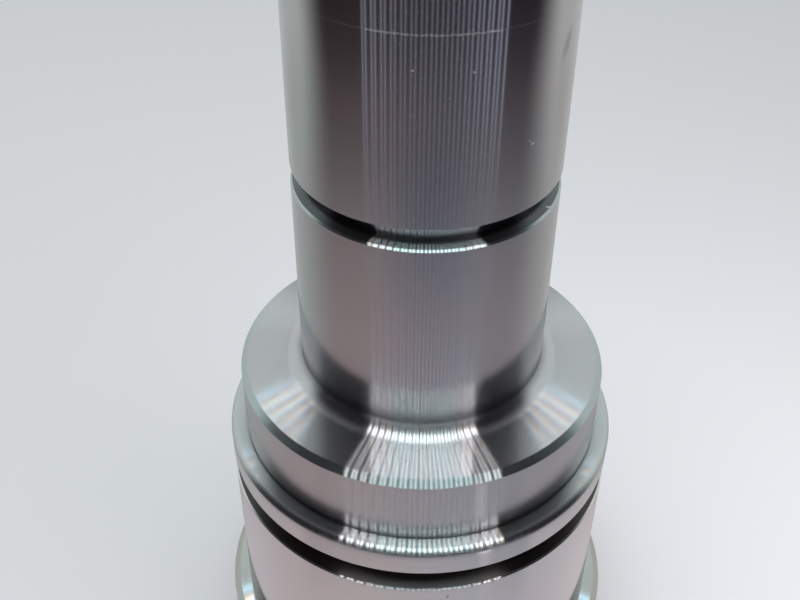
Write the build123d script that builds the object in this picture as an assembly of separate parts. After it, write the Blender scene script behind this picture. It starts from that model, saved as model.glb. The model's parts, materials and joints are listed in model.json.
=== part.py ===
from build123d import *
import math
import os

# Stepped shaft, turned from one bar. From the foot up: a flange, a wide land, a seal
# groove, a retaining ring, a chamfered collar, and a journal and an upper land of one
# diameter with a narrow groove between them.
#
# The part is one solid of revolution about +Z, apart from one small nick in a rim.
# Z = 0 is the flange's flat underside and the origin lies on the axis. Sizes are in mm.

# ---- wide land, ground to the same diameter as the retaining ring ----------------------------
land_diameter = 66.0
land_length = 32.4
land_edge_break = 0.25

# ---- flange at the foot, which stands out from the wide land ---------------------------------
flange_step = 3.25
flange_thickness = 12.0
flange_foot_chamfer = 1.0
flange_rim_chamfer = 1.15

# ---- seal groove between the wide land and the retaining ring --------------------------------
seal_groove_width = 4.1
seal_groove_depth = 4.0

# ---- retaining ring, left standing between the seal groove and the collar --------------------
ring_thickness = 5.0
ring_under_edge_break = 0.15
ring_top_edge_radius = 1.1

# ---- collar, turned down inside the ring, with its flat top face -----------------------------
collar_step = 2.75
collar_height = 12.5
collar_chamfer = 1.0

# ---- journal that rises from the collar ------------------------------------------------------
journal_diameter = 40.0
journal_length = 34.7
journal_root_radius = 2.5
journal_edge_break = 0.3

# ---- narrow groove between the journal and the upper land ------------------------------------
neck_groove_width = 3.2
neck_groove_depth = 2.7

# ---- upper land, up to the free end ----------------------------------------------------------
upper_diameter = 40.0
upper_length = 40.0
upper_edge_break = 0.2
end_chamfer = 1.5

# ---- centre holes that the shaft was turned and ground between -------------------------------
centre_pilot_diameter = 3.15
centre_pilot_depth = 7.5
centre_mouth_diameter = 6.7
centre_angle = 60.0
centre_drill_point = 118.0

# ---- nick knocked into the rim of the journal's shoulder -------------------------------------
nick_angle = -26.5
nick_width = 1.1
nick_reach = 1.0
nick_drop = 0.7
nick_overrun = 0.2

# ---- largest share of a wall that one corner's chamfer or fillet may take --------------------
corner_share = 0.45

# ---- heights of the steps, added up from the foot --------------------------------------------
flange_top = flange_thickness
land_top = flange_top + land_length
ring_bottom = land_top + seal_groove_width
ring_top = ring_bottom + ring_thickness
collar_top = ring_top + collar_height
journal_top = collar_top + journal_length
upper_bottom = journal_top + neck_groove_width
upper_top = upper_bottom + upper_length

# ---- radii of the steps ----------------------------------------------------------------------
land_radius = land_diameter / 2
flange_radius = land_radius + flange_step
ring_radius = land_radius
collar_radius = ring_radius - collar_step
journal_radius = journal_diameter / 2
upper_radius = upper_diameter / 2
seal_groove_root = land_radius - seal_groove_depth
neck_groove_root = min(journal_radius, upper_radius) - neck_groove_depth


def limited(size, *walls):
    """Keeps a corner's size inside the shortest of the walls that it is cut from."""
    return min(size, corner_share * min(walls))


def corner(section, radius, height):
    """The section's corner at a radius and a height."""
    return section.vertices().sort_by_distance((radius, height, 0))[0]


def turned_outline():
    """Half of the shaft's section with sharp corners: X is the radius, Y the height."""
    steps = [
        (flange_radius, 0, flange_top),
        (land_radius, flange_top, land_top),
        (seal_groove_root, land_top, ring_bottom),
        (ring_radius, ring_bottom, ring_top),
        (collar_radius, ring_top, collar_top),
        (journal_radius, collar_top, journal_top),
        (neck_groove_root, journal_top, upper_bottom),
        (upper_radius, upper_bottom, upper_top),
    ]
    points = [(0, 0)]
    for radius, bottom, top in steps:
        points += [(radius, bottom), (radius, top)]
    points.append((0, upper_top))
    return make_face(Polyline(*points, close=True))


def with_chamfers(section):
    """Cuts the chamfers and the edge breaks of the outer corners."""
    shoulder = collar_radius - journal_radius
    cuts = [
        (flange_radius, 0, limited(flange_foot_chamfer, flange_thickness)),
        (flange_radius, flange_top, limited(flange_rim_chamfer, flange_thickness, flange_step)),
        (land_radius, land_top, limited(land_edge_break, land_length, seal_groove_depth)),
        (ring_radius, ring_bottom, limited(ring_under_edge_break, ring_thickness)),
        (collar_radius, collar_top, limited(collar_chamfer, collar_height, shoulder)),
        (journal_radius, journal_top, limited(journal_edge_break, neck_groove_depth)),
        (upper_radius, upper_bottom, limited(upper_edge_break, neck_groove_depth)),
        (upper_radius, upper_top, limited(end_chamfer, upper_length)),
    ]
    for radius, height, size in cuts:
        section = chamfer(corner(section, radius, height), size)
    return section


def with_fillets(section):
    """Rounds the ring's upper edge and the root of the journal."""
    shoulder = collar_radius - journal_radius
    rounds = [
        (ring_radius, ring_top, limited(ring_top_edge_radius, ring_thickness, collar_step)),
        (journal_radius, collar_top, limited(journal_root_radius, shoulder, journal_length)),
    ]
    for radius, height, size in rounds:
        section = fillet(corner(section, radius, height), size)
    return section


def centre_hole():
    """A centre hole along -Z from the origin: a conical mouth, then a drilled pilot."""
    mouth = centre_mouth_diameter / 2
    pilot = centre_pilot_diameter / 2
    mouth_depth = (mouth - pilot) / math.tan(math.radians(centre_angle / 2))
    drill_tip = pilot / math.tan(math.radians(centre_drill_point / 2))
    outline = Polyline(
        (0, 0),
        (mouth, 0),
        (pilot, -mouth_depth),
        (pilot, -centre_pilot_depth),
        (0, -centre_pilot_depth - drill_tip),
        close=True,
    )
    return revolve(Plane.XZ * make_face(outline), Axis.Z, 360)


def nick():
    """A V-shaped notch across the journal's upper rim, deepest at the corner."""
    turn = math.radians(nick_angle)
    outward = Vector(math.cos(turn), math.sin(turn), 0)
    tangent = Vector(-math.sin(turn), math.cos(turn), 0)
    inner_tip = outward * (journal_radius - nick_reach) + Vector(0, 0, journal_top)
    lower_tip = outward * journal_radius + Vector(0, 0, journal_top - nick_drop)
    valley = lower_tip - inner_tip
    depth = nick_reach * nick_drop / valley.length
    start = inner_tip - valley * nick_overrun
    plane = Plane(origin=start, x_dir=valley.cross(tangent), z_dir=valley.normalized())
    rise = 2 * depth * math.copysign(1, plane.x_dir.Z)
    spread = rise * nick_width / (2 * depth)
    vee = make_face(Polyline((0, 0), (rise, spread), (rise, -spread), close=True))
    return extrude(plane * vee, amount=valley.length * (1 + 2 * nick_overrun))


section = with_fillets(with_chamfers(turned_outline()))
shaft = revolve(Plane.XZ * section, Axis.Z, 360)
shaft -= Pos(0, 0, upper_top) * centre_hole()
shaft -= Rot(180, 0, 0) * centre_hole()
shaft -= nick()

os.makedirs("parts", exist_ok=True)
export_step(shaft, "parts/stepped_shaft.step")
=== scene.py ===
import json
import logging
import math
from dataclasses import dataclass, field
from enum import Enum, IntEnum

import bpy
from mathutils import Matrix, Vector


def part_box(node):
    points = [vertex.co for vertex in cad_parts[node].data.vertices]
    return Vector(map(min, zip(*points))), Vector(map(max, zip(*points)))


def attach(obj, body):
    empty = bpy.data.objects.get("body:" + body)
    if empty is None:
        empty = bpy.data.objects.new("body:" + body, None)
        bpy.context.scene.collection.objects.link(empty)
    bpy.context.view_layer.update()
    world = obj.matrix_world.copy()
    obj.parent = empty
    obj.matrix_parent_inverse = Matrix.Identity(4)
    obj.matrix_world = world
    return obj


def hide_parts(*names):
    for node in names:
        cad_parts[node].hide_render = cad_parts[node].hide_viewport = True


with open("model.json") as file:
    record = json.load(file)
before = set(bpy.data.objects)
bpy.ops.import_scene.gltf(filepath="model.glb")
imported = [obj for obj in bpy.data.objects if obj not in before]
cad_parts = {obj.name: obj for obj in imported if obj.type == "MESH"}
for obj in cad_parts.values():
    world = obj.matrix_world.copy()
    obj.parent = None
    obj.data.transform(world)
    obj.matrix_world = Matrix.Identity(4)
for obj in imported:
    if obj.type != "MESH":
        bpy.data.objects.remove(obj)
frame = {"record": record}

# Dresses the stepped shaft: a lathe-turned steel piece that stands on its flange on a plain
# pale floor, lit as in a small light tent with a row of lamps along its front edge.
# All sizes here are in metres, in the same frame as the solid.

log = logging.getLogger("stepped_shaft")

MM = 0.001
NODE = "stepped_shaft"

Colour = tuple[float, float, float]
Span = tuple[float, float]


# ------------------------------------------------------------------ shader building blocks
class Signal:
    """A number's socket in a node tree. Arithmetic on it adds Math nodes."""

    def __init__(self, bench: "Bench", socket: bpy.types.NodeSocket) -> None:
        """Wraps one socket.

        Args:
            bench: The bench that adds nodes to the socket's tree.
            socket: An output socket that carries a number.
        """
        self.bench = bench
        self.socket = socket

    def __add__(self, other: "Signal | float") -> "Signal":
        """This plus other."""
        return self.bench.maths("ADD", self, other)

    def __radd__(self, other: float) -> "Signal":
        """other plus this."""
        return self.bench.maths("ADD", other, self)

    def __sub__(self, other: "Signal | float") -> "Signal":
        """This less other."""
        return self.bench.maths("SUBTRACT", self, other)

    def __rsub__(self, other: float) -> "Signal":
        """other less this."""
        return self.bench.maths("SUBTRACT", other, self)

    def __mul__(self, other: "Signal | float") -> "Signal":
        """This times other."""
        return self.bench.maths("MULTIPLY", self, other)

    def __rmul__(self, other: float) -> "Signal":
        """other times this."""
        return self.bench.maths("MULTIPLY", other, self)

    def __truediv__(self, other: "Signal | float") -> "Signal":
        """This over other."""
        return self.bench.maths("DIVIDE", self, other)

    def __pow__(self, power: float) -> "Signal":
        """This raised to power."""
        return self.bench.maths("POWER", self, power)

    def __abs__(self) -> "Signal":
        """This without its sign."""
        return self.bench.maths("ABSOLUTE", self)

    def step(self, start: float, end: float) -> "Signal":
        """A smooth rise from 0 at start to 1 at end, or a fall where end is the smaller.

        Args:
            start: The value at which the result leaves 0.
            end: The value at which the result reaches 1.

        Returns:
            The smooth step.
        """
        low, high = min(start, end), max(start, end)
        node = self.bench.node(
            "ShaderNodeMapRange",
            {"interpolation_type": "SMOOTHSTEP"},
            {"Value": self, "From Min": low, "From Max": high},
        )
        rise = Signal(self.bench, node.outputs["Result"])
        return rise if start < end else 1.0 - rise

    def bump(self, centre: float, width: float) -> "Signal":
        """A smooth hill of height 1 at centre that ends width to either side."""
        return abs(self - centre).step(width, 0.0)


class Bench:
    """Adds nodes to one node tree."""

    # How far the second row of pulses lags behind the first, in steps, and how much more
    # it lags with each step.
    LAG = 0.36
    DRIFT = 0.016
    NOISE_ROUGHNESS = 0.6

    def __init__(self, tree: bpy.types.NodeTree) -> None:
        """Takes a tree and empties it."""
        self.tree = tree
        tree.nodes.clear()

    def node(
        self,
        kind: str,
        settings: dict[str, object] | None = None,
        sockets: dict[str | int, object] | None = None,
    ) -> bpy.types.Node:
        """Adds a node.

        Args:
            kind: The node's type, such as ShaderNodeMix.
            settings: The node's own settings, set first. A ramp's are under "stops".
            sockets: A value, a Signal or an output socket for each input, by name or place.

        Returns:
            The node.
        """
        made = self.tree.nodes.new(kind)
        for name, value in (settings or {}).items():
            if name == "stops":
                self.fill_ramp(made.color_ramp, value)
            else:
                setattr(made, name, value)
        for key, value in (sockets or {}).items():
            self.feed(made.inputs[key], value)
        return made

    def feed(self, socket: bpy.types.NodeSocket, value: object) -> None:
        """Links a Signal or an output to an input, or sets the input's own value.

        Args:
            socket: The input.
            value: A Signal, an output socket, or a plain value. A colour may lack its alpha.
        """
        if isinstance(value, Signal):
            self.tree.links.new(value.socket, socket)
        elif isinstance(value, bpy.types.NodeSocket):
            self.tree.links.new(value, socket)
        elif socket.type == "RGBA" and len(value) == 3:
            socket.default_value = (*value, 1.0)
        else:
            socket.default_value = value

    @staticmethod
    def fill_ramp(ramp: bpy.types.ColorRamp, stops: list[tuple[float, Colour]]) -> None:
        """Gives a ramp its stops.

        Args:
            ramp: The ramp, which has two stops to begin with.
            stops: The place and the colour of each stop.
        """
        for index, (place, colour) in enumerate(stops):
            stop = ramp.elements[index] if index < 2 else ramp.elements.new(place)
            stop.position = place
            stop.color = (*colour, 1.0)

    def maths(self, operation: str, *operands: Signal | float) -> Signal:
        """Adds a Math node.

        Args:
            operation: What the node does.
            operands: Its inputs in order.

        Returns:
            The node's result.
        """
        sockets = dict(enumerate(operands))
        made = self.node("ShaderNodeMath", {"operation": operation}, sockets)
        return Signal(self, made.outputs[0])

    def mix(
        self,
        share: Signal | float,
        first: object,
        second: object,
        blend: str = "MIX",
    ) -> bpy.types.NodeSocket:
        """Mixes two colours.

        Args:
            share: How much of the second shows, from 0 to 1.
            first: The colour or colour socket at 0.
            second: The colour or colour socket at 1.
            blend: How the second is laid over the first.

        Returns:
            The mixed colour's socket.
        """
        settings = {"data_type": "RGBA", "blend_type": blend}
        made = self.node("ShaderNodeMix", settings, {0: share, 6: first, 7: second})
        return made.outputs[2]

    def blend(
        self, share: Signal | float, first: bpy.types.Node, second: bpy.types.Node
    ) -> bpy.types.Node:
        """Mixes two shaders, with share of the second."""
        sockets = {0: share, 1: first.outputs[0], 2: second.outputs[0]}
        return self.node("ShaderNodeMixShader", None, sockets)

    def tinted(self, *channels: Signal | float) -> bpy.types.NodeSocket:
        """A colour from its red, green and blue."""
        return self.node("ShaderNodeCombineColor", None, dict(enumerate(channels))).outputs[0]

    def across(self, *parts: Signal | float) -> bpy.types.NodeSocket:
        """A vector from its three parts."""
        return self.node("ShaderNodeCombineXYZ", None, dict(enumerate(parts))).outputs[0]

    def place(self, output: str) -> list[Signal]:
        """The three coordinates of a place.

        Args:
            output: Which of the Texture Coordinate node's outputs gives them.

        Returns:
            The coordinates X, Y and Z.
        """
        spot = self.node("ShaderNodeTexCoord").outputs[output]
        parts = self.node("ShaderNodeSeparateXYZ", None, {0: spot})
        return [Signal(self, parts.outputs[axis]) for axis in ("X", "Y", "Z")]

    def end(self, shader: bpy.types.Node, kind: str = "Material") -> None:
        """Ends a Material's or a World's tree with its shader."""
        self.node(f"ShaderNodeOutput{kind}", None, {"Surface": shader.outputs[0]})

    def length(self, first: Signal, second: Signal) -> Signal:
        """The length of a flat vector with these two parts."""
        return self.maths("SQRT", first * first + second * second)

    def wave(self, spot: Signal) -> Signal:
        """A smooth wave from 0 to 1 with a crest at each whole step."""
        return self.maths("COSINE", spot * math.tau) * 0.5 + 0.5

    def pairs(self, spot: Signal, power: float) -> Signal:
        """Two rows of pulses, one to each whole step, that drift apart along the rows.

        Args:
            spot: The place along the rows, in steps.
            power: How sharp the pulses are.

        Returns:
            The height of the pulses, up to 1 where they don't overlap.
        """
        late = spot - (self.LAG + spot * self.DRIFT)
        return self.wave(spot) ** power + self.wave(late) ** power

    def noise(self, along: Signal, scale: float, detail: float) -> Signal:
        """Noise from 0 to 1 along one number.

        Args:
            along: The number that the noise follows.
            scale: Waves for each unit of that number.
            detail: Finer layers on top of the first.

        Returns:
            The noise.
        """
        made = self.node(
            "ShaderNodeTexNoise",
            {"noise_dimensions": "1D"},
            {
                "W": along,
                "Scale": scale,
                "Detail": detail,
                "Roughness": self.NOISE_ROUGHNESS,
            },
        )
        return Signal(self, made.outputs[0])


def bare_material(name: str) -> tuple[bpy.types.Material, Bench]:
    """Makes a material with no nodes.

    Args:
        name: The material's name.

    Returns:
        The material, and the bench that fills its tree.
    """
    material = bpy.data.materials.new(name)
    material.use_nodes = True
    return material, Bench(material.node_tree)


# ------------------------------------------------------------------------------- finishes
class Zone(IntEnum):
    """The surfaces of the shaft, each with a finish of its own."""

    LAND = 0
    FACE = 1
    FILLET = 2
    CHAMFER = 3
    COLLAR = 4
    RING = 5
    WIDE = 6
    FLANGE = 7
    GROOVE = 8
    END = 9
    NECK = 10
    LEDGE = 11
    JOURNAL = 12
    DENT = 13
    SHELF = 14
    RIM = 15
    SCORE = 16


@dataclass(frozen=True)
class Speck:
    """A small mark on the shaft: a grain of dust or a smudge.

    azimuth is its way round the axis from the front, in degrees, and height its height.
    width is half its reach round the axis, in degrees, and drop half its reach up and down.
    bright is its grey, share how much of the steel it hides, and slant leans it over, in
    degrees for each drop.
    """

    azimuth: float
    height: float
    width: float
    drop: float
    bright: float
    share: float = 0.45
    slant: float = 0.0


class Grain:
    """The relief and the direction of a surface's marks, which all its lobes share."""

    def __init__(self, bench: Bench, relief: Signal) -> None:
        """Adds the nodes that the lobes share.

        Args:
            bench: The bench of the material's tree.
            relief: The height of the marks, in metres.
        """
        bump = bench.node(
            "ShaderNodeBump", None, {"Strength": 1.0, "Distance": 1.0, "Height": relief}
        )
        tangent = bench.node("ShaderNodeTangent", {"direction_type": "RADIAL", "axis": "Z"})
        self.bench = bench
        self.sockets = {"Normal": bump.outputs[0], "Tangent": tangent.outputs[0]}

    def lobe(self, colour: Colour, along: float, across: float) -> bpy.types.Node:
        """Adds a metal lobe that is drawn out across the marks.

        Args:
            colour: The metal's colour.
            along: The lobe's width round the axis.
            across: Its width the other way.

        Returns:
            The lobe's node.
        """
        return self.bench.node(
            "ShaderNodeBsdfAnisotropic",
            {"distribution": "GGX"},
            {
                "Color": colour,
                "Roughness": (along * across) ** 0.25,
                "Anisotropy": 1.0 - math.sqrt(along / across),
                **self.sockets,
            },
        )


@dataclass(frozen=True)
class TurnedSteel:
    """Bright steel as a lathe or a grinding wheel leaves it, with marks round the axis.

    The reflection is drawn out across the marks and stays sharp along them: along and
    across are the two widths of its lobe. body is the share of the plainer metal under it,
    and core the share of a tighter lobe that a faced surface has besides its wide one.
    film is how much of a warm oily film clouds it. gloom gives the radii at which a painted
    shade towards a root starts and is full, root_painted_shade_depth how deep it is, and dull
    the colour of every painted shade. foot gives the heights at which a blur and a painted shade
    next to a corner start and are full, and foot_painted_shade_depth how dark that painted shade
    gets. specks are the marks on the surface.
    """

    name: str
    colour: Colour = (0.62, 0.62, 0.64)
    roughness: float = 0.25
    along: float = 0.003
    across: float = 0.015
    body: float = 0.06
    core: float = 0.0
    core_across: float = 0.10
    mark_pitch: float = 0.35 * MM
    mark_depth: float = 0.5e-6
    wave_pitch: float = 2.2 * MM
    wave_depth: float = 1.6e-6
    mark_slope: float = 1.37
    mark_detail: float = 3.0
    mark_roughness: float = 0.10
    band_share: float = 0.06
    plain_stretch: float = 0.95
    film: float = 0.22
    film_scale: float = 130.0
    film_edge: Span = (0.42, 0.72)
    film_tint: Colour = (1.14, 0.96, 0.94)
    # The colour of the painted shade at roots and corners.
    painted_shade_colour: Colour = (0.04, 0.04, 0.045)
    root_painted_shade: Span | None = None
    root_painted_shade_depth: float = 0.9
    # foot and its darkness lay a painted shade next to a corner.
    foot: Span | None = None
    foot_painted_shade_depth: float = 0.92
    foot_across: float = 0.3
    specks: tuple[Speck, ...] = ()

    def make(self) -> bpy.types.Material:
        """Builds the material.

        Returns:
            The material, with its marks on Object coordinates.
        """
        material, bench = bare_material(self.name)
        x, y, z = bench.place("Object")
        radius = bench.length(x, y)
        run = z + radius * self.mark_slope
        fine = bench.noise(run, 1.0 / self.mark_pitch, self.mark_detail)
        broad = bench.noise(run, 1.0 / self.wave_pitch, self.mark_detail)
        grain = Grain(bench, fine * self.mark_depth + broad * self.wave_depth)
        plain = bench.node(
            "ShaderNodeBsdfPrincipled",
            {"distribution": "GGX"},
            {
                "Base Color": self.shade(fine, broad),
                "Metallic": 1.0,
                "Roughness": self.roughness + (fine - 0.5) * self.mark_roughness,
                "Anisotropic": self.plain_stretch,
                "Anisotropic Rotation": 0.25,
                **grain.sockets,
            },
        )
        streaks = self.lobe(grain)
        if self.core:
            tight = self.lobe(grain, across=self.core_across)
            streaks = bench.blend(self.core, streaks, tight)
        if self.film:
            warm = tuple(part * tint for part, tint in zip(self.colour, self.film_tint))
            cloud = self.cloud(x, y, z)
            streaks = bench.blend(cloud * self.film, streaks, self.lobe(grain, warm))
        # Painted shade: the surface turns darker towards the root.
        if self.root_painted_shade:
            dark = radius.step(*self.root_painted_shade) * self.root_painted_shade_depth
            streaks = bench.blend(dark, streaks, self.lobe(grain, self.painted_shade_colour))
        # Painted shade and a blur next to a corner.
        if self.foot:
            streaks = self.blur_and_paint_corner_shade(grain, z, streaks)
        for speck in self.specks:
            spot = self.near(speck, x, y, z)
            dust = bench.node("ShaderNodeBsdfDiffuse", None, {"Color": (speck.bright,) * 3})
            streaks = bench.blend(spot * speck.share, streaks, dust)
        bench.end(bench.blend(self.body, streaks, plain))
        return material

    def lobe(
        self, grain: Grain, colour: Colour | None = None, across: float | None = None
    ) -> bpy.types.Node:
        """One of the surface's lobes, with its own colour and width unless they are given."""
        return grain.lobe(colour or self.colour, self.along, across or self.across)

    def blur_and_paint_corner_shade(self, grain: Grain, z: Signal, streaks: bpy.types.Node) -> bpy.types.Node:
        """Blurs the surface towards a corner and paints shade on the half of it next to the
        corner.

        Args:
            grain: The surface's marks.
            z: The height of a place.
            streaks: The shader without the painted shade.

        Returns:
            The shader with it.
        """
        bench = grain.bench
        start, full = self.foot
        blurred = self.lobe(grain, across=self.foot_across)
        streaks = bench.blend(z.step(start, full), streaks, blurred)
        # The painted shade, darkest at the corner.
        near = z.step((start + full) / 2, full)
        dark = near * near * self.foot_painted_shade_depth
        return bench.blend(dark, streaks, self.lobe(grain, self.painted_shade_colour))

    def cloud(self, *place: Signal) -> Signal:
        """Where the oily film lies.

        Args:
            place: The three coordinates of a place.

        Returns:
            The film's cover, from 0 to 1.
        """
        bench = place[0].bench
        noise = bench.node(
            "ShaderNodeTexNoise",
            None,
            {
                "Vector": bench.across(*place),
                "Scale": self.film_scale,
                "Detail": self.mark_detail,
            },
        )
        return Signal(bench, noise.outputs[0]).step(*self.film_edge)

    @staticmethod
    def near(speck: Speck, x: Signal, y: Signal, z: Signal) -> Signal:
        """How near a place is to a speck's middle.

        Args:
            speck: The mark.
            x: The place's first coordinate.
            y: Its second coordinate.
            z: Its height.

        Returns:
            The nearness, from 1 in the speck's middle to 0 at its edge.
        """
        bench, edge, middle = z.bench, 1.0, 0.2
        turn = bench.maths("ARCTAN2", x, y * -1.0) * math.degrees(1.0) - speck.azimuth
        rise = (z - speck.height) / speck.drop
        side = (turn - rise * speck.slant) / speck.width
        return bench.length(side, rise).step(edge, middle)

    def shade(self, fine: Signal, broad: Signal) -> bpy.types.NodeSocket:
        """The steel's colour, a little darker and lighter from mark to mark.

        Args:
            fine: The fine marks, from 0 to 1.
            broad: The broad waves under them, from 0 to 1.

        Returns:
            The colour's socket.
        """
        fine_share, broad_share = 0.6, 0.4
        dark = tuple(channel * (1.0 - self.band_share) for channel in self.colour)
        light = tuple(min(channel * (1.0 + self.band_share), 1.0) for channel in self.colour)
        share = fine * fine_share + broad * broad_share
        return share.bench.mix(share, dark, light)


LAND_SPECKS = (
    Speck(-5.3, 126.9 * MM, 1.2, 0.22 * MM, 0.55),
    Speck(16.0, 126.5 * MM, 0.8, 0.25 * MM, 0.55),
    Speck(43.2, 114.3 * MM, 1.6, 0.25 * MM, 0.50),
    Speck(41.6, 114.9 * MM, 0.7, 0.20 * MM, 0.50),
    Speck(60.5, 126.0 * MM, 4.0, 3.0 * MM, 0.12, 0.40, 3.0),
)
WIDE_SPECKS = (Speck(8.9, 42.4 * MM, 0.40, 0.6 * MM, 0.08, 0.65, 0.3),)

FINISHES: dict[Zone, TurnedSteel] = {
    Zone.LAND: TurnedSteel("ground_land_steel", specks=LAND_SPECKS),
    # The journal darkens towards its foot at the fillet: painted shade.
    Zone.JOURNAL: TurnedSteel(
        "journal_steel", across=0.03, foot=(76.5 * MM, 68.5 * MM), foot_painted_shade_depth=0.60
    ),
    Zone.FACE: TurnedSteel("faced_steel", along=0.0045, across=0.5, core=0.34),
    # The fillet darkens towards its top at the journal: painted shade.
    Zone.FILLET: TurnedSteel(
        "root_fillet_steel",
        along=0.004,
        across=0.25,
        foot=(66.3 * MM, 68.5 * MM),
        foot_painted_shade_depth=0.60,
    ),
    Zone.CHAMFER: TurnedSteel("chamfer_steel", (0.58, 0.65, 0.66), along=0.004, across=0.4),
    # The collar wall darkens towards its foot at the ring: painted shade.
    Zone.COLLAR: TurnedSteel("collar_wall_steel", across=0.08, foot=(58.0 * MM, 53.5 * MM)),
    Zone.RING: TurnedSteel("ring_shoulder_steel", (0.64, 0.66, 0.67), along=0.003, across=0.3),
    Zone.WIDE: TurnedSteel("wide_land_steel", specks=WIDE_SPECKS),
    Zone.FLANGE: TurnedSteel("flange_steel", (0.56, 0.57, 0.55)),
    # The steel in the grooves and centre holes is darkened: painted shade in the recesses.
    Zone.GROOVE: TurnedSteel("groove_steel", (0.26, 0.24, 0.24), body=0.02),
    Zone.END: TurnedSteel("end_face_steel", along=0.006, across=0.5),
    Zone.NECK: TurnedSteel("neck_root_steel", across=0.05, body=0.02),
    # The ledge's steel is darkened, and darker still towards the neck's root: painted shade.
    Zone.LEDGE: TurnedSteel(
        "neck_ledge_steel",
        (0.36, 0.39, 0.40),
        across=0.5,
        body=0.0,
        root_painted_shade=(18.7 * MM, 17.9 * MM),
    ),
    Zone.DENT: TurnedSteel("dent_steel", along=0.3, across=0.4, body=0.5),
    # The seal groove's shelf is darkened: painted shade in the groove.
    Zone.SHELF: TurnedSteel("seal_shelf_steel", (0.26, 0.24, 0.24), along=0.02, across=0.4),
    # The rim's colour is raised above the steel's so that its lamp glints show brighter: painted
    # highlight.
    Zone.RIM: TurnedSteel("wide_land_rim_steel", (0.95, 0.97, 0.97), along=0.003, across=0.4),
    Zone.SCORE: TurnedSteel("scored_line_steel", across=0.5, core=0.75, core_across=0.015),
}


# ------------------------------------------------------------------------- the shaft's form
class Turn(Enum):
    """Which way a round corner of the section bulges."""

    CONVEX = 1
    CONCAVE = -1


@dataclass
class Outline:
    """Half of the shaft's section, as points (radius, height) with a zone for each run."""

    points: list[tuple[float, float]]
    zones: list[Zone]
    longest: float = 1.2 * MM

    @classmethod
    def start(cls, radius: float, height: float) -> "Outline":
        """An outline with its first point."""
        return cls([(radius, height)], [])

    def to(self, radius: float, height: float, zone: Zone) -> None:
        """Adds a straight run, cut into short stretches.

        Args:
            radius: The radius of the run's end.
            height: The height of the run's end.
            zone: The surface that the run belongs to.
        """
        r0, z0 = self.points[-1]
        count = max(1, math.ceil(math.hypot(radius - r0, height - z0) / self.longest))
        for step in range(1, count + 1):
            share = step / count
            self.points.append((r0 + (radius - r0) * share, z0 + (height - z0) * share))
            self.zones.append(zone)

    def arc(self, radius: float, height: float, turn: Turn, zone: Zone, count: int = 20) -> None:
        """Adds a quarter circle from the last point to a point one radius across and up.

        Args:
            radius: The radius of the arc's end.
            height: The height of the arc's end.
            turn: Whether the corner bulges out or is a hollow root.
            zone: The surface that the arc belongs to.
            count: The arc's stretches.
        """
        r0, z0 = self.points[-1]
        upright_first = turn is Turn.CONVEX
        for step in range(1, count + 1):
            angle = math.pi / 2 * step / count
            early, late = math.sin(angle), 1.0 - math.cos(angle)
            across, up = (late, early) if upright_first else (early, late)
            self.points.append((r0 + (radius - r0) * across, z0 + (height - z0) * up))
            self.zones.append(zone)


class Mounts:
    """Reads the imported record's mounts, in metres."""

    def __init__(self, record: dict) -> None:
        """Sorts the record's mounts by name.

        Args:
            record: The record that the frame holds.
        """
        rows = record["interface"]["mounts"] if "interface" in record else record["mounts"]
        self.rows = {row["name"]: row for row in rows}

    def height(self, name: str) -> float:
        """The height of a mount's middle."""
        return self.rows[name]["pos_m"][2]

    def radius(self, name: str) -> float:
        """A mount's radius."""
        return self.rows[name]["dims"]["r_mm"] * MM

    def span(self, name: str) -> tuple[float, float]:
        """The heights of a mount's lower and upper ends."""
        half = self.rows[name]["dims"]["length_mm"] * MM / 2
        return self.height(name) - half, self.height(name) + half


@dataclass
class Nick:
    """The small V-shaped dent across the rim of the journal's shoulder.

    reach and drop say how far its valley runs in along the shoulder and down the wall. The
    prism that cuts it is a three-sided cylinder of radius 1 and depth 2 before it is
    scaled, and comes out twice as deep and as wide as the dent, so that it clears the rim.
    """

    angle: float = math.radians(-26.5)
    width: float = 1.1 * MM
    reach: float = 1.0 * MM
    drop: float = 0.7 * MM

    def cutter(self, radius: float, height: float) -> tuple[Vector, Vector, Vector]:
        """Where the three-sided prism that cuts the dent goes.

        Args:
            radius: The radius of the rim.
            height: The height of the rim.

        Returns:
            The prism's place, its turn as Euler angles, and its size.
        """
        outward = Vector((math.cos(self.angle), math.sin(self.angle), 0.0))
        inner = outward * (radius - self.reach) + Vector((0.0, 0.0, height))
        lower = outward * radius + Vector((0.0, 0.0, height - self.drop))
        run = lower - inner
        valley = run.normalized()
        depth = self.reach * self.drop / run.length
        tangent = Vector((-outward.y, outward.x, 0.0))
        inward = valley.cross(tangent)
        if inward.z > 0.0:
            inward = -inward
        turn = Matrix((inward, valley.cross(inward), valley)).transposed().to_euler()
        prism_height, prism_side = 1.5, math.sqrt(3.0)
        size = Vector((2.0 * depth / prism_height, 2.0 * self.width / prism_side, run.length))
        return (inner + lower) / 2 - inward * size.x, Vector(turn), size


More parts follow.
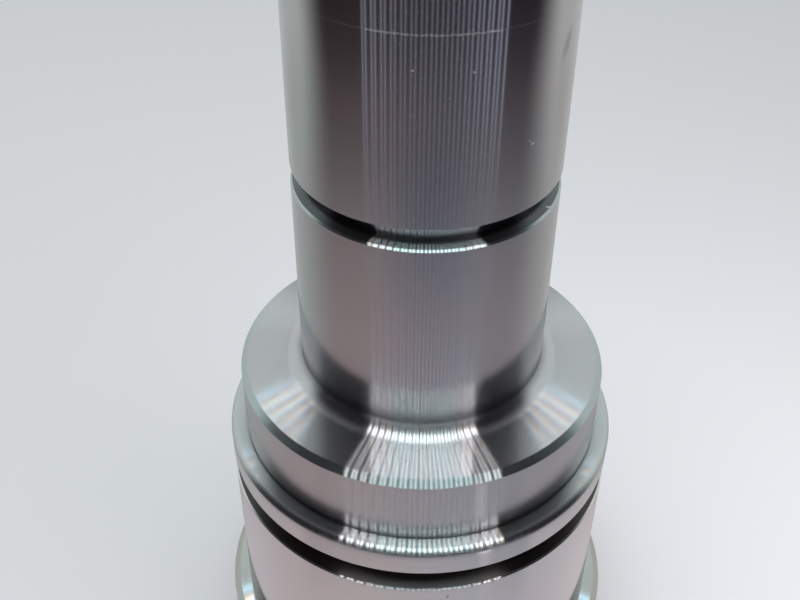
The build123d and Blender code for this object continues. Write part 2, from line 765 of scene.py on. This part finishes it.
@dataclass
class SteppedShaft:
    """The whole shaft, one turned piece. The sizes that no mount gives are fields."""

    mounts: Mounts
    flange_radius: float
    top: float
    flange_foot_chamfer: float = 1.0 * MM
    flange_rim_chamfer: float = 1.15 * MM
    ring_under_break: float = 0.15 * MM
    ring_height: float = 5.0 * MM
    ring_edge_radius: float = 1.1 * MM
    collar_radius: float = 30.25 * MM
    collar_chamfer: float = 1.0 * MM
    scored_line: float = 131.4 * MM
    scored_width: float = 0.30 * MM
    pilot_radius: float = 1.575 * MM
    pilot_depth: float = 7.5 * MM
    mouth_radius: float = 3.35 * MM
    mouth_slope: float = math.radians(30.0)
    tip_slope: float = math.radians(59.0)
    segments: int = 360
    nick: Nick = field(default_factory=Nick)

    def outline(self) -> Outline:
        """The section from the foot's centre hole up to the top's.

        Returns:
            The outline, with a zone for each run.
        """
        m = self.mounts
        upper_low, upper_high = m.span("upper_land")
        journal_low, journal_high = m.span("journal")
        wide_low, wide_high = m.span("wide_land")
        neck_low, neck_high = m.span("ring_groove")
        seal_low, seal_high = m.span("seal_groove")
        shaft, wide = m.radius("upper_land"), m.radius("wide_land")
        neck, seal = m.radius("ring_groove"), m.radius("seal_groove")
        face = m.height("collar_face")
        flange, foot, rim = self.flange_radius, self.flange_foot_chamfer, self.flange_rim_chamfer
        ring_top = seal_high + self.ring_height
        root = journal_low - face
        collar, edge = self.collar_radius, self.collar_chamfer

        line = Outline.start(0.0, self.hole_depth())
        line.to(self.pilot_radius, self.pilot_depth, Zone.GROOVE)
        line.to(self.pilot_radius, self.mouth_depth(), Zone.GROOVE)
        line.to(self.mouth_radius, 0.0, Zone.GROOVE)
        line.to(flange - foot, 0.0, Zone.END)
        line.to(flange, foot, Zone.CHAMFER)
        line.to(flange, wide_low - rim, Zone.FLANGE)
        line.to(flange - rim, wide_low, Zone.FLANGE)
        line.to(wide, wide_low, Zone.FLANGE)
        line.to(wide, wide_high, Zone.WIDE)
        line.to(wide - (seal_low - wide_high), seal_low, Zone.RIM)
        line.to(seal, seal_low, Zone.SHELF)
        line.to(seal, seal_high, Zone.GROOVE)
        line.to(wide - self.ring_under_break, seal_high, Zone.GROOVE)
        line.to(wide, seal_high + self.ring_under_break, Zone.CHAMFER)
        line.to(wide, ring_top - self.ring_edge_radius, Zone.WIDE)
        line.arc(wide - self.ring_edge_radius, ring_top, Turn.CONVEX, Zone.RING)
        line.to(collar, ring_top, Zone.RING)
        line.to(collar, face - edge, Zone.COLLAR)
        line.to(collar - edge, face, Zone.CHAMFER)
        line.to(shaft + root, face, Zone.FACE)
        line.arc(shaft, journal_low, Turn.CONCAVE, Zone.FILLET, 24)
        line.to(shaft, journal_high, Zone.JOURNAL)
        line.to(shaft - (neck_low - journal_high), neck_low, Zone.CHAMFER)
        line.to(neck, neck_low, Zone.LEDGE)
        line.to(neck, neck_high, Zone.NECK)
        line.to(shaft - (upper_low - neck_high), neck_high, Zone.GROOVE)
        line.to(shaft, upper_low, Zone.CHAMFER)
        line.to(shaft, self.scored_line - self.scored_width / 2, Zone.LAND)
        line.to(shaft, self.scored_line + self.scored_width / 2, Zone.SCORE)
        line.to(shaft, upper_high, Zone.LAND)
        line.to(shaft - (self.top - upper_high), self.top, Zone.CHAMFER)
        line.to(self.mouth_radius, self.top, Zone.END)
        line.to(self.pilot_radius, self.top - self.mouth_depth(), Zone.GROOVE)
        line.to(self.pilot_radius, self.top - self.pilot_depth, Zone.GROOVE)
        line.to(0.0, self.top - self.hole_depth(), Zone.GROOVE)
        return line

    def mouth_depth(self) -> float:
        """How deep the cone at a centre hole's mouth goes."""
        return (self.mouth_radius - self.pilot_radius) / math.tan(self.mouth_slope)

    def hole_depth(self) -> float:
        """How deep a centre hole goes, with the drill's tip."""
        return self.pilot_depth + self.pilot_radius / math.tan(self.tip_slope)

    def build(self, materials: dict[Zone, bpy.types.Material]) -> bpy.types.Object:
        """Turns the outline round the axis and cuts the nick.

        Args:
            materials: The material of each zone.

        Returns:
            The shaft as a plain mesh object.
        """
        line = self.outline()
        shaft_radius = self.mounts.radius("upper_land")
        section = bpy.data.meshes.new("section")
        corners = [(radius, 0.0, height) for radius, height in line.points]
        edges = [(index, index + 1) for index in range(len(corners) - 1)]
        section.from_pydata(corners, edges, [])
        zone = section.attributes.new("zone", "INT", "POINT")
        zone.data.foreach_set("value", [int(value) for value in line.zones] + [0])
        blank = bpy.data.objects.new("turned_shaft", section)
        bpy.context.scene.collection.objects.link(blank)
        lathe = LatheTree(materials, len(corners))
        shoulder = self.mounts.span("ring_groove")[0]
        lathe.attach(blank, self.segments, self.nick.cutter(shaft_radius, shoulder))
        evaluated = blank.evaluated_get(bpy.context.evaluated_depsgraph_get())
        mesh = bpy.data.meshes.new_from_object(evaluated)
        blank.modifiers.clear()
        blank.data = mesh
        bpy.data.meshes.remove(section)
        return blank


class LatheTree:
    """A Geometry Nodes tree that turns a section round the Z axis."""

    WELD = 1e-7
    SHARP_BEND = math.radians(20.0)
    CUTTER_INPUTS = ("Nick Place", "Nick Turn", "Nick Size")

    def __init__(self, materials: dict[Zone, bpy.types.Material], count: int) -> None:
        """Builds the tree.

        Args:
            materials: The material of each zone.
            count: How many points the section has.
        """
        self.tree = bpy.data.node_groups.new("lathe", "GeometryNodeTree")
        face = self.tree.interface
        face.new_socket("Geometry", in_out="INPUT", socket_type="NodeSocketGeometry")
        self.inputs: dict[str, str] = {}
        kinds = {"Segments": "NodeSocketInt"}
        kinds.update(dict.fromkeys(self.CUTTER_INPUTS, "NodeSocketVector"))
        for name, kind in kinds.items():
            made = face.new_socket(name, in_out="INPUT", socket_type=kind)
            self.inputs[name] = made.identifier
        face.new_socket("Geometry", in_out="OUTPUT", socket_type="NodeSocketGeometry")
        self.bench = Bench(self.tree)
        self.group = self.bench.node("NodeGroupInput")
        turned = self.turned(count)
        cut = self.nicked(turned)
        self.finish(cut, materials)

    def turned(self, count: int) -> bpy.types.NodeSocket:
        """The section turned into a closed skin, with each face's zone stored.

        Args:
            count: How many points the section has.

        Returns:
            The skin's socket.
        """
        bench, section = self.bench, self.group.outputs["Geometry"]
        segments = Signal(bench, self.group.outputs["Segments"])
        grid = bench.node(
            "GeometryNodeMeshGrid", None, {"Vertices X": segments + 1.0, "Vertices Y": count}
        )
        index = Signal(bench, bench.node("GeometryNodeInputIndex").outputs[0])
        place = bench.node("GeometryNodeInputPosition").outputs[0]
        row = bench.maths("FLOORED_MODULO", index, float(count))
        column = bench.maths("FLOOR", (index + 0.5) / float(count))
        point = bench.node(
            "GeometryNodeSampleIndex",
            {"data_type": "FLOAT_VECTOR", "domain": "POINT"},
            {0: section, "Value": place, "Index": row},
        )
        parts = bench.node("ShaderNodeSeparateXYZ", None, {0: point.outputs[0]})
        radius = Signal(bench, parts.outputs["X"])
        angle = column * math.tau / segments
        spot = bench.node(
            "ShaderNodeCombineXYZ",
            None,
            {
                "X": radius * bench.maths("COSINE", angle),
                "Y": radius * bench.maths("SINE", angle),
                "Z": parts.outputs["Z"],
            },
        )
        moved = bench.node(
            "GeometryNodeSetPosition",
            None,
            {0: grid.outputs["Mesh"], "Position": spot.outputs[0]},
        )
        strip = bench.maths("FLOORED_MODULO", index, float(count - 1))
        zone = bench.node(
            "GeometryNodeInputNamedAttribute", {"data_type": "INT"}, {"Name": "zone"}
        )
        face_zone = bench.node(
            "GeometryNodeSampleIndex",
            {"data_type": "INT", "domain": "POINT"},
            {0: section, "Value": zone.outputs[0], "Index": strip},
        )
        stored = bench.node(
            "GeometryNodeStoreNamedAttribute",
            {"data_type": "INT", "domain": "FACE"},
            {0: moved.outputs[0], "Name": "zone", "Value": face_zone.outputs[0]},
        )
        merged = bench.node(
            "GeometryNodeMergeByDistance", None, {0: stored.outputs[0], "Distance": self.WELD}
        )
        return merged.outputs[0]

    def nicked(self, skin: bpy.types.NodeSocket) -> bpy.types.NodeSocket:
        """Cuts the nick out of the skin with a three-sided prism.

        Args:
            skin: The turned skin.

        Returns:
            The cut skin's socket.
        """
        bench = self.bench
        cylinder = bench.node("GeometryNodeMeshCylinder", None, {"Vertices": 3})
        prism = bench.node(
            "GeometryNodeStoreNamedAttribute",
            {"data_type": "INT", "domain": "FACE"},
            {0: cylinder.outputs["Mesh"], "Name": "zone", "Value": int(Zone.DENT)},
        )
        placed = bench.node(
            "GeometryNodeTransform",
            None,
            {
                0: prism.outputs[0],
                "Translation": self.group.outputs["Nick Place"],
                "Rotation": self.group.outputs["Nick Turn"],
                "Scale": self.group.outputs["Nick Size"],
            },
        )
        cut = bench.node(
            "GeometryNodeMeshBoolean",
            {"operation": "DIFFERENCE", "solver": "EXACT"},
            {0: skin, 1: placed.outputs[0]},
        )
        return cut.outputs[0]

    def finish(
        self, skin: bpy.types.NodeSocket, materials: dict[Zone, bpy.types.Material]
    ) -> None:
        """Keeps the turned corners sharp, gives each zone its material and ends the tree.

        Args:
            skin: The finished skin.
            materials: The material of each zone.
        """
        bench = self.bench
        bend = Signal(bench, bench.node("GeometryNodeInputMeshEdgeAngle").outputs[0])
        smooth = bench.node(
            "GeometryNodeSetShadeSmooth", {"domain": "FACE"}, {0: skin, "Shade Smooth": True}
        )
        sharp = bench.node(
            "GeometryNodeSetShadeSmooth",
            {"domain": "EDGE"},
            {
                0: smooth.outputs[0],
                "Selection": bench.maths("GREATER_THAN", bend, self.SHARP_BEND),
                "Shade Smooth": False,
            },
        )
        real = bench.node("GeometryNodeRealizeInstances", None, {0: sharp.outputs[0]})
        dressed = real.outputs[0]
        zone = bench.node(
            "GeometryNodeInputNamedAttribute", {"data_type": "INT"}, {"Name": "zone"}
        )
        for which, material in materials.items():
            same = bench.node(
                "FunctionNodeCompare",
                {"data_type": "INT", "operation": "EQUAL"},
                {2: zone.outputs[0], 3: int(which)},
            )
            painted = bench.node(
                "GeometryNodeSetMaterial",
                None,
                {0: dressed, "Selection": same.outputs[0], "Material": material},
            )
            dressed = painted.outputs[0]
        bench.node("NodeGroupOutput", None, {0: dressed})

    def attach(
        self, piece: bpy.types.Object, segments: int, cutter: tuple[Vector, Vector, Vector]
    ) -> None:
        """Puts the tree on an object as a modifier and sets its inputs.

        Args:
            piece: The object whose mesh is the section.
            segments: Stretches round the axis.
            cutter: The place, turn and size of the prism that cuts the nick.
        """
        modifier = piece.modifiers.new("lathe", "NODES")
        modifier.node_group = self.tree
        modifier[self.inputs["Segments"]] = segments
        for name, value in zip(self.CUTTER_INPUTS, cutter):
            modifier[self.inputs[name]] = tuple(value)


# ------------------------------------------------------------------------------- the stage
@dataclass(frozen=True)
class Ray:
    """A mirrored ray that leaves the shaft.

    turn is the place round the axis that it leaves from, in degrees from the front. back
    and up are the backward and upward parts of its direction.
    """

    turn: Signal
    back: Signal
    up: Signal

    @property
    def bench(self) -> Bench:
        """The bench of the world's tree."""
        return self.up.bench


@dataclass(frozen=True)
class Patch:
    """A soft patch of what stands round the shaft.

    turn and up are its middle, wide and high its half sizes, and strength its height.
    """

    turn: float
    wide: float
    up: float
    high: float
    strength: float = 1.0

    def on(self, ray: Ray) -> Signal:
        """How much of the patch a ray meets."""
        beside = ray.turn.bump(self.turn, self.wide)
        return beside * ray.up.bump(self.up, self.high) * self.strength


@dataclass(frozen=True)
class LightTent:
    """What stands round the shaft: pale walls and roof, and a dark room past the open front.

    A Span is where something starts and where it is full: upward parts of a ray's
    direction, backward parts where the name ends in back, and degrees round the axis where
    it ends in turn. A share of two numbers is the least share and what is added to it.
    """

    pale: Colour = (0.66, 0.68, 0.70)
    left_flank: Colour = (0.700, 0.755, 0.725)
    right_flank: Colour = (0.750, 0.755, 0.735)
    left_table: Colour = (0.74, 0.69, 0.71)
    right_table: Colour = (0.84, 0.78, 0.78)
    left_brim: Colour = (0.62, 0.57, 0.60)
    right_brim: Colour = (0.70, 0.635, 0.655)
    left_hue: Colour = (1.05, 1.0, 0.93)
    right_hue: Colour = (0.95, 1.0, 1.0)
    back: Colour = (0.70, 0.765, 0.745)
    ceiling: Colour = (0.30, 0.32, 0.34)
    raised: Colour = (0.235, 0.25, 0.265)
    black: Colour = (0.0, 0.0, 0.0)
    white: Colour = (1.0, 1.0, 1.0)
    # The front from eye level down: the dark room, then the white table. A place is how far
    # down a ray points.
    front: tuple[tuple[float, Colour], ...] = (
        (0.0, (0.016, 0.014, 0.016)),
        (0.12, (0.005, 0.006, 0.009)),
        (0.30, (0.005, 0.006, 0.009)),
        (0.385, (0.027, 0.020, 0.026)),
        (0.43, (0.044, 0.036, 0.042)),
        (0.47, (0.095, 0.079, 0.091)),
        (0.52, (0.145, 0.131, 0.142)),
        (0.555, (0.207, 0.189, 0.205)),
        (0.60, (0.272, 0.246, 0.264)),
        (0.65, (0.320, 0.276, 0.298)),
        (0.77, (0.380, 0.365, 0.400)),
        (0.81, (0.620, 0.570, 0.600)),
        (1.0, (0.66, 0.63, 0.645)),
    )
    # A ray that points down comes off a wall, whose turn is half of the ray's own. One that
    # points up comes off a face, and its level part is taken as face_level.
    face_level: float = 0.66
    wall_up: Span = (0.1, -0.3)
    raised_up: Span = (0.25, 0.5)
    raised_back: Span = (-0.1, 0.35)
    # Where the open front gives way to the side walls, and how many degrees the start and
    # the end of that shift by further up and further down.
    wall_turn: Span = (42.0, 59.5)
    above_up: Span = (-0.36, 0.1)
    above_more: tuple[float, float] = (12.0, 8.5)
    start_low_up: Span = (-0.38, -0.45)
    start_low_less: float = 3.0
    end_low_up: Span = (-0.44, -0.60)
    end_low_more: float = 10.5
    ceiling_up: Span = (0.80, 0.97)
    ceiling_back: Span = (-0.15, 0.25)
    ceiling_share: tuple[float, float] = (0.15, 0.45)
    sides_turn: Span = (-15.0, 15.0)
    hue_turn: Span = (-20.0, 20.0)
    flank_turn: Span = (62.0, 90.0)
    flank_share: tuple[float, float] = (0.62, 0.38)
    haze_up: Span = (-0.47, -0.39)
    haze_share: float = 0.15
    foot_up: Span = (-0.68, -0.79)
    behind_up: Span = (-0.1, 0.3)
    behind_back: Span = (-0.4, 0.3)
    brim_turn: Span = (33.0, 41.0)
    brim_up: Span = (-0.73, -0.78)
    brim_share: float = 0.85
    # The shaft's own shade on the table, in two parts, and how deep it is in red, green and
    # blue. The glint is a warm spot on the table, with its green and blue for each red.
    far_shade: Patch = Patch(1.0, 31.0, -0.565, 0.13)
    near_shade: Patch = Patch(1.0, 31.0, -0.708, 0.026, 1.25)
    shade_depth: Colour = (0.42, 0.36, 0.24)
    glint: Patch = Patch(21.0, 3.4, -0.762, 0.011, 2.6)
    glint_hue: tuple[float, float] = (0.86, 0.88)

    def make(self) -> None:
        """Builds the world's shader."""
        world = bpy.data.worlds.new("light_tent")
        bpy.context.scene.world = world
        world.use_nodes = True
        bench = Bench(world.node_tree)
        x, back, up = bench.place("Generated")
        level = bench.maths("SQRT", 1.0 - up * up)
        level = self.face_level + (level - self.face_level) * up.step(*self.wall_up)
        turn = bench.maths("ARCTAN2", x, level - back) * math.degrees(1.0)
        ray = Ray(turn, back, up)
        mirrored = bench.mix(self.walled(ray), self.table(ray), self.walls(ray))
        least, more = self.ceiling_share
        overhead = up.step(*self.ceiling_up) * (least + back.step(*self.ceiling_back) * more)
        mirrored = bench.mix(overhead, mirrored, self.ceiling)
        lit = bench.mix(1.0, mirrored, TableStripes().on(ray), "ADD")
        warm = self.glint.on(ray)
        green, blue = self.glint_hue
        lit = bench.mix(1.0, lit, bench.tinted(warm, warm * green, warm * blue), "ADD")
        path = bench.node("ShaderNodeLightPath")
        seen = bench.mix(path.outputs["Is Camera Ray"], lit, self.pale)
        sky = bench.node("ShaderNodeBackground", None, {"Color": seen})
        bench.end(sky, "World")

    def walled(self, ray: Ray) -> Signal:
        """How much a ray sees of the side walls in place of the open front.

        Args:
            ray: The ray.

        Returns:
            The walls' share, from 0 to 1.
        """
        start, end = self.wall_turn
        start_more, end_more = self.above_more
        above = ray.up.step(*self.above_up)
        start = start - ray.up.step(*self.start_low_up) * self.start_low_less
        start = start + above * start_more
        end = end + ray.up.step(*self.end_low_up) * self.end_low_more + above * end_more
        return ((abs(ray.turn) - start) / (end - start)).step(0.0, 1.0)

    def walls(self, ray: Ray) -> bpy.types.NodeSocket:
        """The side walls, brighter towards the back and near the table, and the back wall.

        Args:
            ray: The ray.

        Returns:
            The colour that the ray sees.
        """
        bench = ray.bench
        least, more = self.flank_share
        right = ray.turn.step(*self.sides_turn)
        flank = bench.mix(right, self.left_flank, self.right_flank)
        share = least + abs(ray.turn).step(*self.flank_turn) * more
        flank = bench.mix(share, self.black, flank)
        flank = bench.mix(ray.up.step(*self.haze_up) * self.haze_share, flank, self.white)
        table = bench.mix(right, self.left_table, self.right_table)
        flank = bench.mix(ray.up.step(*self.foot_up), flank, table)
        behind = ray.up.step(*self.behind_up) * ray.back.step(*self.behind_back)
        return bench.mix(behind, flank, self.back)

    def table(self, ray: Ray) -> bpy.types.NodeSocket:
        """The front: a dark room at eye level, and a white table that ends before it.

        Args:
            ray: The ray.

        Returns:
            The colour that the ray sees.
        """
        bench, turn, up = ray.bench, ray.turn, ray.up
        stops = {"stops": self.front}
        ramp = bench.node("ShaderNodeValToRGB", stops, {0: up * -1.0}).outputs[0]
        brim = abs(turn).step(*self.brim_turn) * up.step(*self.brim_up)
        edge = bench.mix(turn.step(*self.sides_turn), self.left_brim, self.right_brim)
        lit = bench.mix(brim * self.brim_share, ramp, edge)
        hue = bench.mix(turn.step(*self.hue_turn), self.left_hue, self.right_hue)
        lit = bench.mix(1.0, lit, hue, "MULTIPLY")
        shade = self.far_shade.on(ray) + self.near_shade.on(ray)
        dim = bench.tinted(*(1.0 - shade * depth for depth in self.shade_depth))
        lit = bench.mix(1.0, lit, dim, "MULTIPLY")
        raised = up.step(*self.raised_up) * ray.back.step(*self.raised_back)
        return bench.mix(raised, lit, self.raised)


@dataclass(frozen=True)
class TableStripes:
    """The lamps as the table in front of the shaft gives them back, in fine stripes.

    left and right are the ends of their band, in degrees round the axis. The band narrows
    a little further down. A Span is read as the light tent's: the stripes fade in at
    fade_up, swell towards the sides of the band, are faint below it at low_glow, gain at
    lower_up and lowest_up, and end at low_end_up and top_end_up.
    """

    left: float = -25.6
    right: float = 30.4
    pairs: int = 15
    start: float = -0.15
    sharpness: float = 10.0
    edge: float = 0.6
    narrow_up: Span = (-0.50, -0.65)
    narrow_share: float = 0.07
    fade_up: Span = (-0.56, -0.42)
    fade_glow: float = 0.24
    haze_glow: float = 0.008
    swell_least: float = 0.35
    swell_turn: Span = (5.0, 24.0)
    swell_more: float = 0.45
    right_turn: Span = (10.0, 28.0)
    right_more: float = 0.35
    low_glow: float = 0.05
    lower_up: Span = (-0.66, -0.70)
    lower_glow: float = 0.04
    lowest_up: Span = (-0.68, -0.71)
    lowest_glow: float = 0.25
    low_end_up: Span = (-0.745, -0.72)
    top_end_up: Span = (0.0, -0.1)
    hue: Colour = (0.90, 0.96, 1.18)

    def on(self, ray: Ray) -> bpy.types.NodeSocket:
        """The stripes' light.

        Args:
            ray: The ray.

        Returns:
            The colour that they add.
        """
        bench, up = ray.bench, ray.up
        spot = ray.turn / (1.0 - up.step(*self.narrow_up) * self.narrow_share)
        rate = self.pairs / (self.right - self.left)
        pulse = bench.pairs((spot - self.left) * rate + self.start, self.sharpness)
        middle, reach = (self.left + self.right) / 2, (self.right - self.left) / 2
        band = abs(spot - middle).step(reach, reach - self.edge)
        fade = up.step(*self.fade_up)
        swell = self.swell_least + abs(spot).step(*self.swell_turn) * self.swell_more
        swell = swell + spot.step(*self.right_turn) * self.right_more
        low = self.low_glow + up.step(*self.lower_up) * self.lower_glow
        low = low + up.step(*self.lowest_up) * self.lowest_glow
        low = low * up.step(*self.low_end_up)
        glow = pulse * (low + fade * self.fade_glow * swell) + fade * self.haze_glow
        glow = glow * band * up.step(*self.top_end_up)
        return bench.tinted(*(glow * share for share in self.hue))


def flat_sheet(name: str, edges: tuple[float, float, float, float]) -> bpy.types.Object:
    """Makes a flat sheet and links it to the scene.

    Args:
        name: The sheet's name.
        edges: Where its left, right, lower and upper edges are.

    Returns:
        The sheet.
    """
    left, right, low, high = edges
    corners = [(left, low, 0.0), (right, low, 0.0), (right, high, 0.0), (left, high, 0.0)]
    mesh = bpy.data.meshes.new(name)
    mesh.from_pydata(corners, [], [(0, 1, 2, 3)])
    sheet = bpy.data.objects.new(name, mesh)
    bpy.context.scene.collection.objects.link(sheet)
    return sheet


# How much of a lamp sheet glows at a place, in which colour and how strongly.
Light = tuple[Signal, bpy.types.NodeSocket, Signal]


@dataclass(frozen=True)
class LampSheet:
    """A sheet with bars of light on it, seen only in the shaft's reflections."""

    name: str = "lamps"
    location: tuple[float, float, float] = (0.0, 0.0, 0.0)
    tilt: float = 0.0
    edges: tuple[float, float, float, float] = (-0.1, 0.1, -0.1, 0.1)
    faintest: float = 0.001

    def make(self) -> bpy.types.Object:
        """Builds the sheet.

        Returns:
            The sheet.
        """
        sheet = flat_sheet(self.name, self.edges)
        sheet.location = self.location
        sheet.rotation_euler = (self.tilt, 0.0, 0.0)
        sheet.visible_camera = sheet.visible_diffuse = sheet.visible_shadow = False
        sheet.visible_transmission = sheet.visible_volume_scatter = False
        material, bench = bare_material(self.name)
        material.cycles.emission_sampling = "NONE"
        x, y, _ = bench.place("Object")
        cover, colour, glow = self.light(x, y)
        beam = bench.node("ShaderNodeEmission", None, {"Color": colour, "Strength": glow})
        clear = bench.node("ShaderNodeBsdfTransparent")
        bench.end(bench.blend(cover, clear, beam))
        sheet.data.materials.append(material)
        return sheet

    def light(self, x: Signal, y: Signal) -> Light:
        """The sheet's light at a place.

        Args:
            x: The place across the sheet.
            y: The place up the sheet.

        Returns:
            The light there.
        """
        raise NotImplementedError

    def fringed(
        self, channels: list[Signal], band: Signal
    ) -> tuple[Signal, bpy.types.NodeSocket]:
        """Makes one light of bars that stand a little apart in red, green and blue.

        Args:
            channels: The bars in each of the three.
            band: Where the bars are let through.

        Returns:
            How much of the sheet glows at a place, and in which colour.
        """
        cover = (channels[0] + channels[1] + channels[2]) / 3.0 * band
        whole = cover + self.faintest
        return cover, cover.bench.tinted(*(channel / whole for channel in channels))


@dataclass(frozen=True)
class LampRow(LampSheet):
    """The row of small lamps above the front of the shaft.

    The bars stand in pairs, pair degrees apart round the shaft's axis as it mirrors them,
    from start on, and show from first to last. spread says how they fan out towards the
    front, and bend how a place across the sheet turns into degrees.
    """

    name: str = "lamp_row"
    location: tuple[float, float, float] = (0.0, -50.0 * MM, 235.0 * MM)
    tilt: float = math.radians(45.0)
    edges: tuple[float, float, float, float] = (-0.12, 0.13, -0.08, 0.06)
    first: float = -21.8
    last: float = 25.0
    edge: float = 0.4
    pair: float = 2.86
    start: float = -19.16
    spread: tuple[float, float] = (1.35, 7.7)
    bend: tuple[float, float] = (293.5, 4296.0)
    sharpness: float = 9.0
    glow: float = 7.2
    fringe: float = 0.02
    teal: float = 0.06
    teal_side: Span = (16.0, 11.0)
    upper_end: Span = (0.06, 0.045)
    lower_end: Span = (-0.08, -0.06)
    warm_middle: float = 20.5
    warm_reach: float = 3.0
    warm_gain: float = 0.3

    def light(self, x: Signal, y: Signal) -> Light:
        """The bars' light, with a trace of teal between those in the middle.

        Args:
            x: The place across the sheet.
            y: The place up the sheet.

        Returns:
            The light there.
        """
        narrow, widen = self.spread
        rate, bend = self.bend
        away = x / (1.0 - y * narrow + y * y * widen)
        turn = away * rate - away * away * away * bend
        spot = (turn - self.start) / self.pair
        middle, reach = (self.first + self.last) / 2, (self.last - self.first) / 2
        side = abs(turn - middle)
        band = side.step(reach, reach - self.edge)
        teal = side.step(*self.teal_side) * self.teal
        red, green, blue = (
            x.bench.pairs(spot + shift, self.sharpness)
            for shift in (-self.fringe, 0.0, self.fringe)
        )
        cover, colour = self.fringed([red, green + teal, blue + teal], band)
        ends = y.step(*self.upper_end) * y.step(*self.lower_end)
        warm = 1.0 + turn.bump(self.warm_middle, self.warm_reach) * self.warm_gain
        return cover, colour, ends * warm * self.glow


@dataclass(frozen=True)
class RoofLamps(LampSheet):
    """Far lamps behind the shaft, which its faced collar spreads into fans at its flanks.

    The bars fan out from a point on the sheet's middle line, pitch degrees apart on either
    side of it, from first to last.
    """

    name: str = "roof_lamps"
    location: tuple[float, float, float] = (0.0, 150.0 * MM, 180.0 * MM)
    tilt: float = math.radians(90.0)
    edges: tuple[float, float, float, float] = (-0.16, 0.16, -0.02, 0.16)
    first: float = 36.0
    last: float = 52.5
    edge: float = 2.0
    pitch: float = 4.6
    sharpness: float = 3.5
    glow: float = 4.4
    fringe: float = 0.07
    near_end: Span = (0.03, 0.045)
    far_end: Span = (0.15, 0.11)

    def light(self, x: Signal, y: Signal) -> Light:
        """The bars' light.

        Args:
            x: The place across the sheet.
            y: The place up the sheet.

        Returns:
            The light there.
        """
        bench = x.bench
        turn = bench.maths("ARCTAN2", abs(x), y) * math.degrees(1.0)
        away = bench.length(x, y)
        spot = (turn - self.first) / self.pitch
        channels = [
            bench.wave(spot + shift) ** self.sharpness
            for shift in (-self.fringe, 0.0, self.fringe)
        ]
        band = turn.step(self.first - self.edge, self.first)
        band = band * turn.step(self.last + self.edge, self.last)
        cover, colour = self.fringed(channels, band)
        ends = away.step(*self.near_end) * away.step(*self.far_end)
        return cover * ends, colour, ends * self.glow


@dataclass(frozen=True)
class Floor:
    """The plain pale floor."""

    radius: float = 3.0
    colour: Colour = (0.695, 0.712, 0.735)
    roughness: float = 0.8
    specular: float = 0.1

    def make(self) -> bpy.types.Object:
        """Builds the floor and its material.

        Returns:
            The floor.
        """
        reach = self.radius
        floor = flat_sheet("floor", (-reach, reach, -reach, reach))
        material, bench = bare_material("pale_floor")
        pale = bench.node(
            "ShaderNodeBsdfPrincipled",
            None,
            {
                "Base Color": self.colour,
                "Roughness": self.roughness,
                "Specular IOR Level": self.specular,
            },
        )
        bench.end(pale)
        floor.data.materials.append(material)
        floor.visible_glossy = False
        return floor


@dataclass(frozen=True)
class Softbox:
    """A soft lamp. It lights the floor, leaves a gentle shadow and shows in no reflection."""

    name: str
    location: tuple[float, float, float]
    aim: tuple[float, float, float]
    size: float
    power: float
    colour: Colour = (1.0, 1.0, 1.0)

    def make(self) -> bpy.types.Object:
        """Builds the lamp.

        Returns:
            The lamp.
        """
        data = bpy.data.lights.new(self.name, "AREA")
        data.shape, data.size, data.energy = "DISK", self.size, self.power
        data.color = self.colour
        lamp = bpy.data.objects.new(self.name, data)
        beam = Vector(self.aim) - Vector(self.location)
        lamp.location = self.location
        lamp.rotation_euler = beam.to_track_quat("-Z", "Y").to_euler()
        lamp.visible_glossy = False
        bpy.context.scene.collection.objects.link(lamp)
        return lamp


OVERHEAD = Softbox("overhead_softbox", (-0.15, -0.15, 1.4), (0.0, 0.0, 0.0), 1.0, 14.6)
CORNER = Softbox(
    "corner_softbox", (0.13, -0.06, 0.19), (0.02, -0.07, 0.0), 0.20, 0.21, (1.0, 0.90, 0.95)
)


@dataclass(frozen=True)
class Camera:
    """The camera, above and in front of the shaft, looking down at it."""

    back: float = 0.13378
    height: float = 0.18341
    pitch: float = math.radians(38.679)
    yaw: float = math.radians(-1.569)
    roll: float = math.radians(-0.4197)
    lens: float = 47.41
    sensor: float = 36.0
    nearest: float = 0.01
    farthest: float = 20.0

    def make(self) -> bpy.types.Object:
        """Builds the camera and makes it the scene's.

        Returns:
            The camera.
        """
        data = bpy.data.cameras.new("camera")
        data.lens, data.sensor_width = self.lens, self.sensor
        data.clip_start, data.clip_end = self.nearest, self.farthest
        camera = bpy.data.objects.new("camera", data)
        bpy.context.scene.collection.objects.link(camera)
        level = math.cos(self.pitch)
        ahead = Vector(
            (math.sin(self.yaw) * level, math.cos(self.yaw) * level, -math.sin(self.pitch))
        )
        flat = Vector((math.cos(self.yaw), -math.sin(self.yaw), 0.0))
        down = ahead.cross(flat)
        right = flat * math.cos(self.roll) + down * math.sin(self.roll)
        below = down * math.cos(self.roll) - flat * math.sin(self.roll)
        turn = Matrix((right, -below, -ahead)).transposed().to_4x4()
        camera.matrix_world = Matrix.Translation((0.0, -self.back, self.height)) @ turn
        bpy.context.scene.camera = camera
        return camera


def main() -> None:
    """Builds the shaft, the stage and the camera, and ties the shaft to the frame."""
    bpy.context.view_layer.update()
    node_low, node_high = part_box(NODE)
    flange = min(abs(value) for corner in (node_low, node_high) for value in corner[:2])
    log.info("%s: flange radius %.5f, height %.5f", NODE, flange, node_high.z)
    materials = {zone: finish.make() for zone, finish in FINISHES.items()}
    piece = SteppedShaft(Mounts(frame["record"]), flange, node_high.z).build(materials)
    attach(piece, "root")
    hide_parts(NODE)
    log.info("%s: %d faces", piece.name, len(piece.data.polygons))
    LightTent().make()
    for stage in (Floor(), LampRow(), RoofLamps(), OVERHEAD, CORNER, Camera()):
        log.info("%s", stage.make().name)
    bpy.context.scene.view_settings.view_transform = "Standard"


if __name__ == "__main__":
    logging.basicConfig(level=logging.INFO)
    main()
